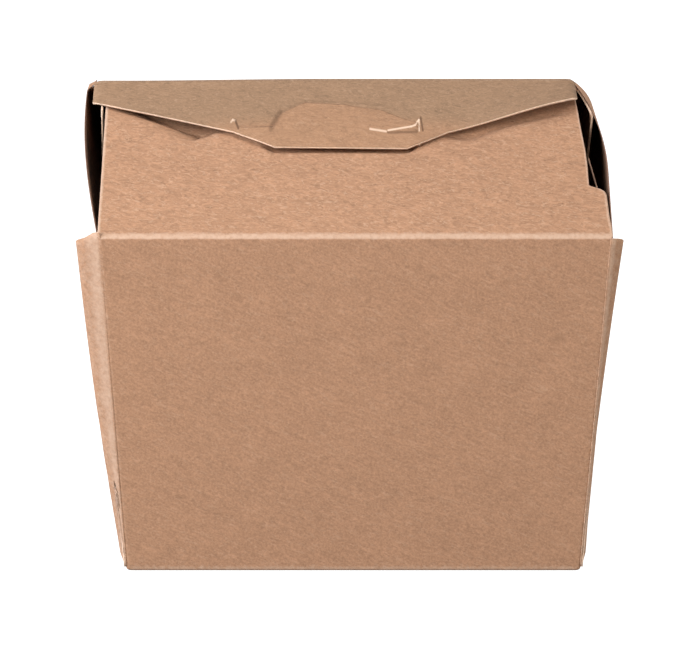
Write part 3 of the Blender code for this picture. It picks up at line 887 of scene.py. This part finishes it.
band_top = []
fresh = add_row(lid, [(front_point(x, SLOT_UP, band_lift(x, SLOT_UP)), 0.0, 1.0) for x in lid_columns])
for x, shared, own in zip(lid_columns, slot_row, fresh):
    if SLOT_LEFT < x < SLOT_RIGHT:
        band_top.append(own)
    else:
        band_top.append(shared)
        lid.verts.remove(own)
band_rows = []
for step in range(1, LOWER_ROWS + 1):
    row = []
    for x in lid_columns:
        up = mix(slot_height(x), read(LIP_EDGE, x), step / LOWER_ROWS)
        row.append((front_point(x, up, band_lift(x, up)), 0.0, warmth(x, up)))
    band_rows.append(row)
loft(lid, band_rows, band_top)
print("slot and band, mm:", round((SLOT_RIGHT - SLOT_LEFT) / MM, 1), "wide")

# %% [markdown]
# On the real lid two small wings hang from the ends of the back slope and tuck in beside the
# side flaps. They are flat sheets, so a few columns from the slope down to the rim are enough.

# %% Wings of the lid
WING_GAP = 0.35 * MM
WING_FRONT = -10.0 * MM
WING_BACK = 36.0 * MM
LEFT_WING_X = -59.95 * MM
RIGHT_WING_FOOT = 56.6 * MM
RIGHT_WING_LEAN = 0.097


def left_wing_x(rise):
    """The left wing hangs upright and keeps clear of the foot of the side flap."""
    return max(LEFT_WING_X, left_flap_x(rise) + WING_GAP)


def right_wing_x(rise):
    """The right wing leans out a little and keeps under the top of the side flap."""
    return min(RIGHT_WING_FOOT + RIGHT_WING_LEAN * rise, right_flap_x(rise) - WING_GAP)


def make_wing(name, wing_x, outward):
    """A wing from the back slope down to the rim."""
    wing = new_sheet()
    rows = []
    for y in spaced(WING_FRONT, WING_BACK, 2.0 * MM):
        up = min((RIM_HALF_DEPTH - y) / math.cos(BACK_SLOPE), back_top)
        under_lip = (RIM_HALF_DEPTH + y) * math.tan(FRONT_SLOPE) - LID_THICKNESS
        top = min(back_point(0.0, up, -BOARD).z - RIM_HEIGHT, under_lip)
        rises = [top * share for share in spaced(0.0, 1.0, 0.05)]
        rows.append([((wing_x(rise), y, RIM_HEIGHT + rise), 0.0) for rise in rises])
    loft(wing, rows)
    return board_object(name, wing, (outward, 0.0, 0.0))


make_wing("wing_left", left_wing_x, -1.0)
make_wing("wing_right", right_wing_x, 1.0)

# %% [markdown]
# The tongue is the end of the front flap. It runs under the band, comes up through the slot and
# lies on the lip, which locks the box. Its outline is a table of how far up each column reaches.

# %% Tongue
TONGUE_ROOT = 30.0 * MM
TONGUE_TOP = [(x * MM, up * MM) for x, up in (
    (-18.5, 34.8), (-16.7, 39.3), (-15.1, 40.5), (-10.9, 43.4), (-1.2, 42.8), (2.6, 41.9),
    (7.0, 41.2), (13.4, 37.8), (16.0, 36.8), (16.8, 35.0),
)]
TONGUE_STEP = [(x * MM, step * MM) for x, step in ((-18.5, 0.6), (-8.0, 0.45), (4.0, 0.3), (16.8, 0.15))]
DIP_START = 4.0 * MM
DIP_REACH = 3.6 * MM


def tongue_lift(x, up):
    """Up the tongue: under the band first, then through the slot and onto the lip."""
    below = band_lift(x, SLOT_UP) - 0.5 * MM
    at_slot = band_lift(x, SLOT_UP) + 0.02 * MM
    above = lip_lift(x, up) + read(TONGUE_STEP, x)
    if up < SLOT_UP + 0.3 * MM:
        return mix(below, at_slot, ease((up - SLOT_UP + DIP_START) / DIP_REACH))
    return mix(at_slot, above, ease((up - SLOT_UP) / (3.0 * MM)))


tongue = new_sheet()
tongue_columns = spaced(TONGUE_TOP[0][0], TONGUE_TOP[-1][0], 0.4 * MM)
tongue_rows = []
for share in spaced(0.0, 1.0, 0.03):
    row = []
    for x in tongue_columns:
        up = mix(TONGUE_ROOT, read(TONGUE_TOP, x), share)
        row.append((front_point(x, up, tongue_lift(x, up)), 0.0, 1.0))
    tongue_rows.append(row)
loft(tongue, tongue_rows)
tongue_panel = board_object("tongue", tongue, (0.0, -1.0, 1.0))
tongue_panel.data.materials[0] = lid_board
tub_panel = board_object("tub_and_front_flap", tub, (0.0, -1.0, 0.2))
for face in tub_panel.data.polygons:
    if face.material_index == 2 and face.center.z < RIM_HEIGHT + 0.3 * MM:
        face.material_index = 1
lid_panel = board_object("lid", lid, (0.0, 0.2, 1.0), LID_THICKNESS)
lid_panel.data.materials[0] = lid_board

# %% [markdown]
# At each corner of the tub the web between two walls is folded flat against the short wall. It
# has two layers with a rounded fold along its slanting outer edge, and it stands off more and
# more towards the rim. Each ear is one strip of columns that goes out along the outer layer, round the fold
# and back along the inner layer. The same function makes all four, with a bulge for each.

# %% Ears
EAR_LENGTH = 40.0 * MM
EAR_ANGLE = math.radians(41.0)
EAR_FOOT = 1.2 * MM
EAR_FLAT = 1.0 * MM
LEFT_EAR_PEAK = 2.3 * MM
RIGHT_EAR_PEAK = 4.0 * MM
EAR_PROUD = 0.02 * MM
EAR_WEAR = 0.85
# A pale wash over the front of each ear, carried by the wear value: partly wear, partly painted light for the
# lit corner face.
EAR_WEAR_AND_LIGHT_WASH = 0.42
EAR_WASH_REACH = 9.0 * MM
EAR_WALL_Y = 45.93 * MM
LEFT_EAR_TOP = [(back * MM, rise * MM) for back, rise in (
    (0.0, 1.3), (0.33, 1.1), (0.8, -0.15), (1.3, -0.6), (2.0, -1.05), (2.8, -1.65), (3.4, -2.3), (5.9, -3.4),
    (8.0, -4.0), (40.0, -15.0),
)]
RIGHT_EAR_TOP = [(back * MM, rise * MM) for back, rise in (
    (0.0, -0.2), (2.0, -0.76), (3.0, -1.1), (3.6, -1.5), (4.1, -2.1), (7.5, -3.3), (40.0, -14.0),
)]


def left_bulge(level):
    """How far a left ear stands off the wall, by its level from foot to rim."""
    return 0.9 * MM + 4.3 * MM * level + 0.8 * MM * math.sin(math.pi * level)


def right_bulge(level):
    """How far a right ear stands off the wall; it stays flat up to a third of the way."""
    return 0.9 * MM + 1.9 * MM * max(0.0, (level - 0.35) / 0.65) ** 1.3


def stand_off(back, length, bulge, flat, peak):
    """The outer layer at a distance back from the corner: up to a peak, then down to the fold."""
    peak = min(peak, 0.4 * length)
    if back < peak:
        return bulge * math.sin(back / peak * math.pi / 2)
    return mix(flat, bulge, 0.5 + 0.5 * math.cos(math.pi * (back - peak) / (length - peak)))


def ear_outline(length, bulge, flat, peak, wrap):
    """One level line of an ear, as (back, out, wear): round the corner, out, and back again."""
    first = min(0.5 * MM, 0.1 * length)
    meet = Vector((first, stand_off(first, length, bulge, flat, peak)))
    outline = []
    for step in range(7):
        part = step / 6
        start = Vector((-EAR_PROUD, -wrap))
        corner = Vector((-EAR_PROUD, 0.0))
        point = start.lerp(corner, part).lerp(corner.lerp(meet, part), part)
        outline.append((point.x, point.y, EAR_WEAR * ease(part * 2.0)))
    for share in [0.025, 0.04, 0.06] + spaced(0.09, 1.0, 0.04):
        back = share * length
        rub = EAR_WEAR * fold_wear(back, 2.0 * MM)
        outline.append((back, stand_off(back, length, bulge, flat, peak), rub))
    for step in range(1, 6):
        angle = step / 6 * math.pi
        outline.append((length + flat / 2 * math.sin(angle), flat / 2 * (1 + math.cos(angle)), 0.8))
    for share in spaced(1.0, 0.06, 0.1):
        out = 0.3 * (stand_off(share * length, length, bulge, flat, peak) - flat)
        outline.append((share * length, max(out, 0.02 * MM), 0.0))
    return outline


def make_ear(name, side_x, side_y, bulge_rule, top_line, peak):
    """A two-layer corner web, folded flat against a short wall."""
    ear = new_sheet()
    rows = []
    for height in spaced(EAR_FOOT, RIM_HEIGHT, 1.6 * MM):
        level = height / RIM_HEIGHT
        wall_x = mix(BASE_MIDDLE, RIM_MIDDLE, level) + side_x * mix(BASE_HALF_WIDTH, RIM_HALF_WIDTH, level)
        wall_y = min(mix(BASE_HALF_DEPTH, RIM_HALF_DEPTH, level), EAR_WALL_Y)
        length = min(EAR_LENGTH, height * math.tan(EAR_ANGLE))
        flat = EAR_FLAT * min(1.0, length / (4 * MM))
        bulge = max(bulge_rule(level) * min(1.0, length / (4 * MM)), flat)
        points = []
        wrap = 0.2 * MM + 0.45 * MM * level ** 2
        for back, out, rub in ear_outline(length, bulge, flat, peak, wrap):
            # Partly wear, partly painted light: the front of the ear is washed paler.
            rub = max(rub, EAR_WEAR_AND_LIGHT_WASH * fold_wear(back, EAR_WASH_REACH))
            top = read(top_line, back) * level ** 3
            points.append(((wall_x + side_x * out, side_y * (wall_y - back), height + top), rub))
        rows.append(points)
    loft(ear, rows)
    ear.normal_update()
    ear.faces.ensure_lookup_table()
    if ear.faces[0].normal.y * side_y < 0.0:
        bmesh.ops.reverse_faces(ear, faces=ear.faces)
    return board_object(name, ear)


make_ear("ear_front_left", -1.0, -1.0, left_bulge, LEFT_EAR_TOP, LEFT_EAR_PEAK)
make_ear("ear_front_right", 1.0, -1.0, right_bulge, RIGHT_EAR_TOP, RIGHT_EAR_PEAK)
make_ear("ear_back_left", -1.0, 1.0, left_bulge, RIGHT_EAR_TOP, RIGHT_EAR_PEAK)
make_ear("ear_back_right", 1.0, 1.0, right_bulge, RIGHT_EAR_TOP, RIGHT_EAR_PEAK)

# %% [markdown]
# A side flap stands up from each short wall and closes the end of the roof. Its shape follows a
# rule: its two edges are cut to the slopes of the roof, and it bows out or leans in as it rises.
# A rule like this suits Geometry Nodes. One node tree moves the points of a flat grid, and its
# named inputs say how wide, how high and how bent this flap is, so both flaps come from it.


# %% Node tree of the side flaps
def geometry_tree(name, inputs):
    """An empty geometry node tree with named number inputs."""
    tree = bpy.data.node_groups.new(name, "GeometryNodeTree")
    tree.interface.new_socket("Geometry", in_out="INPUT", socket_type="NodeSocketGeometry")
    for socket_name, value in inputs:
        socket = tree.interface.new_socket(socket_name, in_out="INPUT", socket_type="NodeSocketFloat")
        socket.default_value = value
    tree.interface.new_socket("Geometry", in_out="OUTPUT", socket_type="NodeSocketGeometry")
    return tree, tree.nodes.new("NodeGroupInput"), tree.nodes.new("NodeGroupOutput")


def side_flap_tree():
    """A grid bent into a side flap: hinge at the rim, edges along the slopes, bow and lean."""
    inputs = (
        ("Side", 1.0), ("Rim X", 0.06), ("Height", SIDE_FLAP_TOP), ("Half depth", RIM_HALF_DEPTH),
        ("Bow", 0.0), ("Bow peak", 0.02), ("Straight", 0.0), ("Lean radius", 10.0),
        ("Tuck", 0.0), ("Tuck start", TUCK_START),
    )
    tree, given, result = geometry_tree("side_flap", inputs)
    grid = add_node(tree, "GeometryNodeMeshGrid")
    for name, value in (("Size X", 1.0), ("Size Y", 1.0), ("Vertices X", 70), ("Vertices Y", 80)):
        grid.inputs[name].default_value = value
    split = tree.nodes.new("ShaderNodeSeparateXYZ")
    tree.links.new(tree.nodes.new("GeometryNodeInputPosition").outputs[0], split.inputs[0])
    share = calculate(tree, "ADD", split.outputs["X"], 0.5)
    up = calculate(tree, "ADD", split.outputs["Y"], 0.5)
    rise = times(tree, up, given.outputs["Height"])
    turn = times(tree, calculate(tree, "DIVIDE", rise, given.outputs["Bow peak"]), math.pi / 2)
    bow = times(tree, calculate(tree, "SINE", turn), given.outputs["Bow"])
    bend = calculate(tree, "MAXIMUM", calculate(tree, "SUBTRACT", rise, given.outputs["Straight"]), 0.0)
    radius = given.outputs["Lean radius"]
    chord = calculate(tree, "SUBTRACT", times(tree, radius, radius), times(tree, bend, bend))
    lean = calculate(tree, "SUBTRACT", radius, calculate(tree, "SQRT", chord))
    past_start = calculate(tree, "SUBTRACT", rise, given.outputs["Tuck start"])
    ramp = tree.nodes.new("ShaderNodeMapRange")
    ramp.interpolation_type = "SMOOTHSTEP"
    tree.links.new(calculate(tree, "DIVIDE", past_start, TUCK_REACH), ramp.inputs["Value"])
    tuck = times(tree, ramp.outputs["Result"], given.outputs["Tuck"])
    out = calculate(tree, "SUBTRACT", calculate(tree, "SUBTRACT", bow, lean), tuck)
    x = calculate(tree, "MULTIPLY_ADD", out, given.outputs["Side"], given.outputs["Rim X"])
    depth = given.outputs["Half depth"]
    front = calculate(tree, "SUBTRACT", calculate(tree, "DIVIDE", rise, math.tan(FRONT_SLOPE)), depth)
    back = calculate(tree, "SUBTRACT", depth, calculate(tree, "DIVIDE", rise, math.tan(BACK_SLOPE)))
    across = times(tree, calculate(tree, "SUBTRACT", back, front), share)
    y = calculate(tree, "ADD", front, across)
    z = calculate(tree, "ADD", rise, RIM_HEIGHT)
    place = tree.nodes.new("ShaderNodeCombineXYZ")
    for name, value in (("X", x), ("Y", y), ("Z", z)):
        tree.links.new(value, place.inputs[name])
    move = tree.nodes.new("GeometryNodeSetPosition")
    tree.links.new(grid.outputs["Mesh"], move.inputs["Geometry"])
    tree.links.new(place.outputs["Vector"], move.inputs["Position"])
    real = tree.nodes.new("GeometryNodeRealizeInstances")
    paint = tree.nodes.new("GeometryNodeSetMaterial")
    paint.inputs["Material"].default_value = outer_board
    tree.links.new(move.outputs["Geometry"], real.inputs["Geometry"])
    tree.links.new(real.outputs["Geometry"], paint.inputs["Geometry"])
    tree.links.new(paint.outputs["Geometry"], result.inputs["Geometry"])
    return tree


def run_tree(name, tree, values):
    """Run a geometry tree on a new object with named values and keep the plain mesh."""
    made = bpy.data.objects.new(name, bpy.data.meshes.new(name))
    bpy.context.scene.collection.objects.link(made)
    modifier = made.modifiers.new("nodes", "NODES")
    modifier.node_group = tree
    for item in tree.interface.items_tree:
        if item.in_out == "INPUT" and item.name in values:
            modifier[item.identifier] = values[item.name]
    graph = bpy.context.evaluated_depsgraph_get()
    plain = bpy.data.meshes.new_from_object(made.evaluated_get(graph))
    made.modifiers.clear()
    made.data = plain
    return made


flap_tree = side_flap_tree()

# %% Left and right side flaps
def make_side_flap(name, side, values):
    """One side flap from the tree, given its thickness, with a deep brown of painted shade on its inner face
    and edge.
    """
    rim_x = RIM_MIDDLE + side * RIM_HALF_WIDTH
    values = {"Side": side, "Rim X": rim_x, "Height": SIDE_FLAP_TOP, "Half depth": EAR_WALL_Y, **values}
    flap = run_tree(name, flap_tree, values)
    build = bmesh.new()
    build.from_mesh(flap.data)
    build.verts.layers.float.new("wear")
    face_out(build, (side, 0.0, 0.0))
    build.to_mesh(flap.data)
    build.free()
    for face in flap.data.polygons:
        face.use_smooth = True
    flap.data.materials.clear()
    thicken(flap, FLAP_BOARD)
    # The inner face and the cut edge of each side flap take the painted shade.
    flap.data.materials[1] = painted_shade_board
    flap.data.materials[2] = painted_shade_board
    return flap


make_side_flap("side_flap_left", -1.0, {"Bow": LEFT_BOW, "Bow peak": LEFT_BOW_PEAK, "Tuck": LEFT_TUCK})
make_side_flap("side_flap_right", 1.0, {"Straight": RIGHT_STRAIGHT, "Lean radius": RIGHT_LEAN_RADIUS})

# %% [markdown]
# The box stands on a plain white floor that runs on behind it. The key light stands close in
# front, to the left, so the front of the box fades a little to the right and to its foot. Others
# stand further round to the left and on the right, one hangs above and a little behind, so that
# the lid throws its shadow forward, and one keeps the back from going dark. The floor and the
# background also glow for the camera alone: they are pure white in the picture, as in the
# photograph, and the box is lit only by the soft lights and a weak even sky.

# %% Floor and lights
FLOOR_HALF = 4.0
FLOOR_TONE = 0.25
CAMERA_GLOW = 1.0
FLOOR_GLOW = 0.02
SKY_GLOW = 0.20
AIM = Vector((0.0, 0.0, 0.06))


def camera_glow(tree, glow):
    """A strength that is a little, and much more for the rays that come from the camera."""
    seen = tree.nodes.new("ShaderNodeLightPath").outputs["Is Camera Ray"]
    return calculate(tree, "MULTIPLY_ADD", seen, CAMERA_GLOW, glow)


floor_mesh = bpy.data.meshes.new("floor")
floor_corners = [(x * FLOOR_HALF, y * FLOOR_HALF, 0.0) for x, y in ((-1, -1), (1, -1), (1, 1), (-1, 1))]
floor_mesh.from_pydata(floor_corners, [], [(0, 1, 2, 3)])
floor = bpy.data.objects.new("floor", floor_mesh)
bpy.context.scene.collection.objects.link(floor)
white = bpy.data.materials.new("white_floor")
white.use_nodes = True
white_shader = white.node_tree.nodes["Principled BSDF"]
white_shader.inputs["Base Color"].default_value = (FLOOR_TONE, FLOOR_TONE, FLOOR_TONE, 1.0)
white_shader.inputs["Roughness"].default_value = 0.9
white_shader.inputs["Emission Color"].default_value = (1.0, 1.0, 1.0, 1.0)
floor_strength = camera_glow(white.node_tree, FLOOR_GLOW)
white.node_tree.links.new(floor_strength, white_shader.inputs["Emission Strength"])
floor_mesh.materials.append(white)

world = bpy.data.worlds.new("studio")
world.use_nodes = True
background = world.node_tree.nodes["Background"]
background.inputs["Color"].default_value = (1.0, 1.0, 1.0, 1.0)
world.node_tree.links.new(camera_glow(world.node_tree, SKY_GLOW), background.inputs["Strength"])
bpy.context.scene.world = world


def soft_light(name, azimuth, elevation, power, distance=1.3, size=0.5, colour=(1.0, 1.0, 1.0)):
    """A square soft light aimed at the box; azimuth 0 is in front, and it rises to the right."""
    light = bpy.data.lights.new(name, "AREA")
    light.shape = "SQUARE"
    light.size = size
    light.energy = power
    light.color = colour
    lamp = bpy.data.objects.new(name, light)
    bpy.context.scene.collection.objects.link(lamp)
    turn = math.radians(azimuth)
    climb = math.radians(elevation)
    flat = distance * math.cos(climb)
    lamp.location = AIM + Vector((flat * math.sin(turn), -flat * math.cos(turn), distance * math.sin(climb)))
    lamp.rotation_euler = (AIM - lamp.location).to_track_quat("-Z", "Y").to_euler()


soft_light("key", -35.0, 27.0, 3.95, distance=0.75, size=0.29)
soft_light("side", -70.0, 20.0, 13.2, colour=(0.92, 1.02, 1.2))
soft_light("right", 65.0, 20.0, 8.5)
soft_light("top", -125.0, 65.0, 3.7)
soft_light("back", 150.0, 25.0, 5.0)
print("soft lights:", len(bpy.data.lights))

# %% [markdown]
# The camera looks at the front of the box from a little above, with a long lens, so that the
# sides of the tub lean in with hardly any perspective.

# %% Camera
PICTURE_WIDTH = 700
FOCAL_PIXELS = 3424.6
CAMERA_DISTANCE = 0.850
CAMERA_RISE = math.radians(16.0)
LOOK_AT = Vector((0.0, 0.0, 49.45 * MM))
SENSOR = 36.0
camera_data = bpy.data.cameras.new("camera")
camera_data.sensor_width = SENSOR
camera_data.lens = FOCAL_PIXELS / PICTURE_WIDTH * SENSOR
camera = bpy.data.objects.new("camera", camera_data)
bpy.context.scene.collection.objects.link(camera)
back_off = Vector((0.0, -math.cos(CAMERA_RISE), math.sin(CAMERA_RISE))) * CAMERA_DISTANCE
camera.location = LOOK_AT + back_off
camera.rotation_euler = (math.pi / 2 - CAMERA_RISE, 0.0, 0.0)
bpy.context.scene.camera = camera
bpy.context.scene.view_settings.view_transform = "Standard"
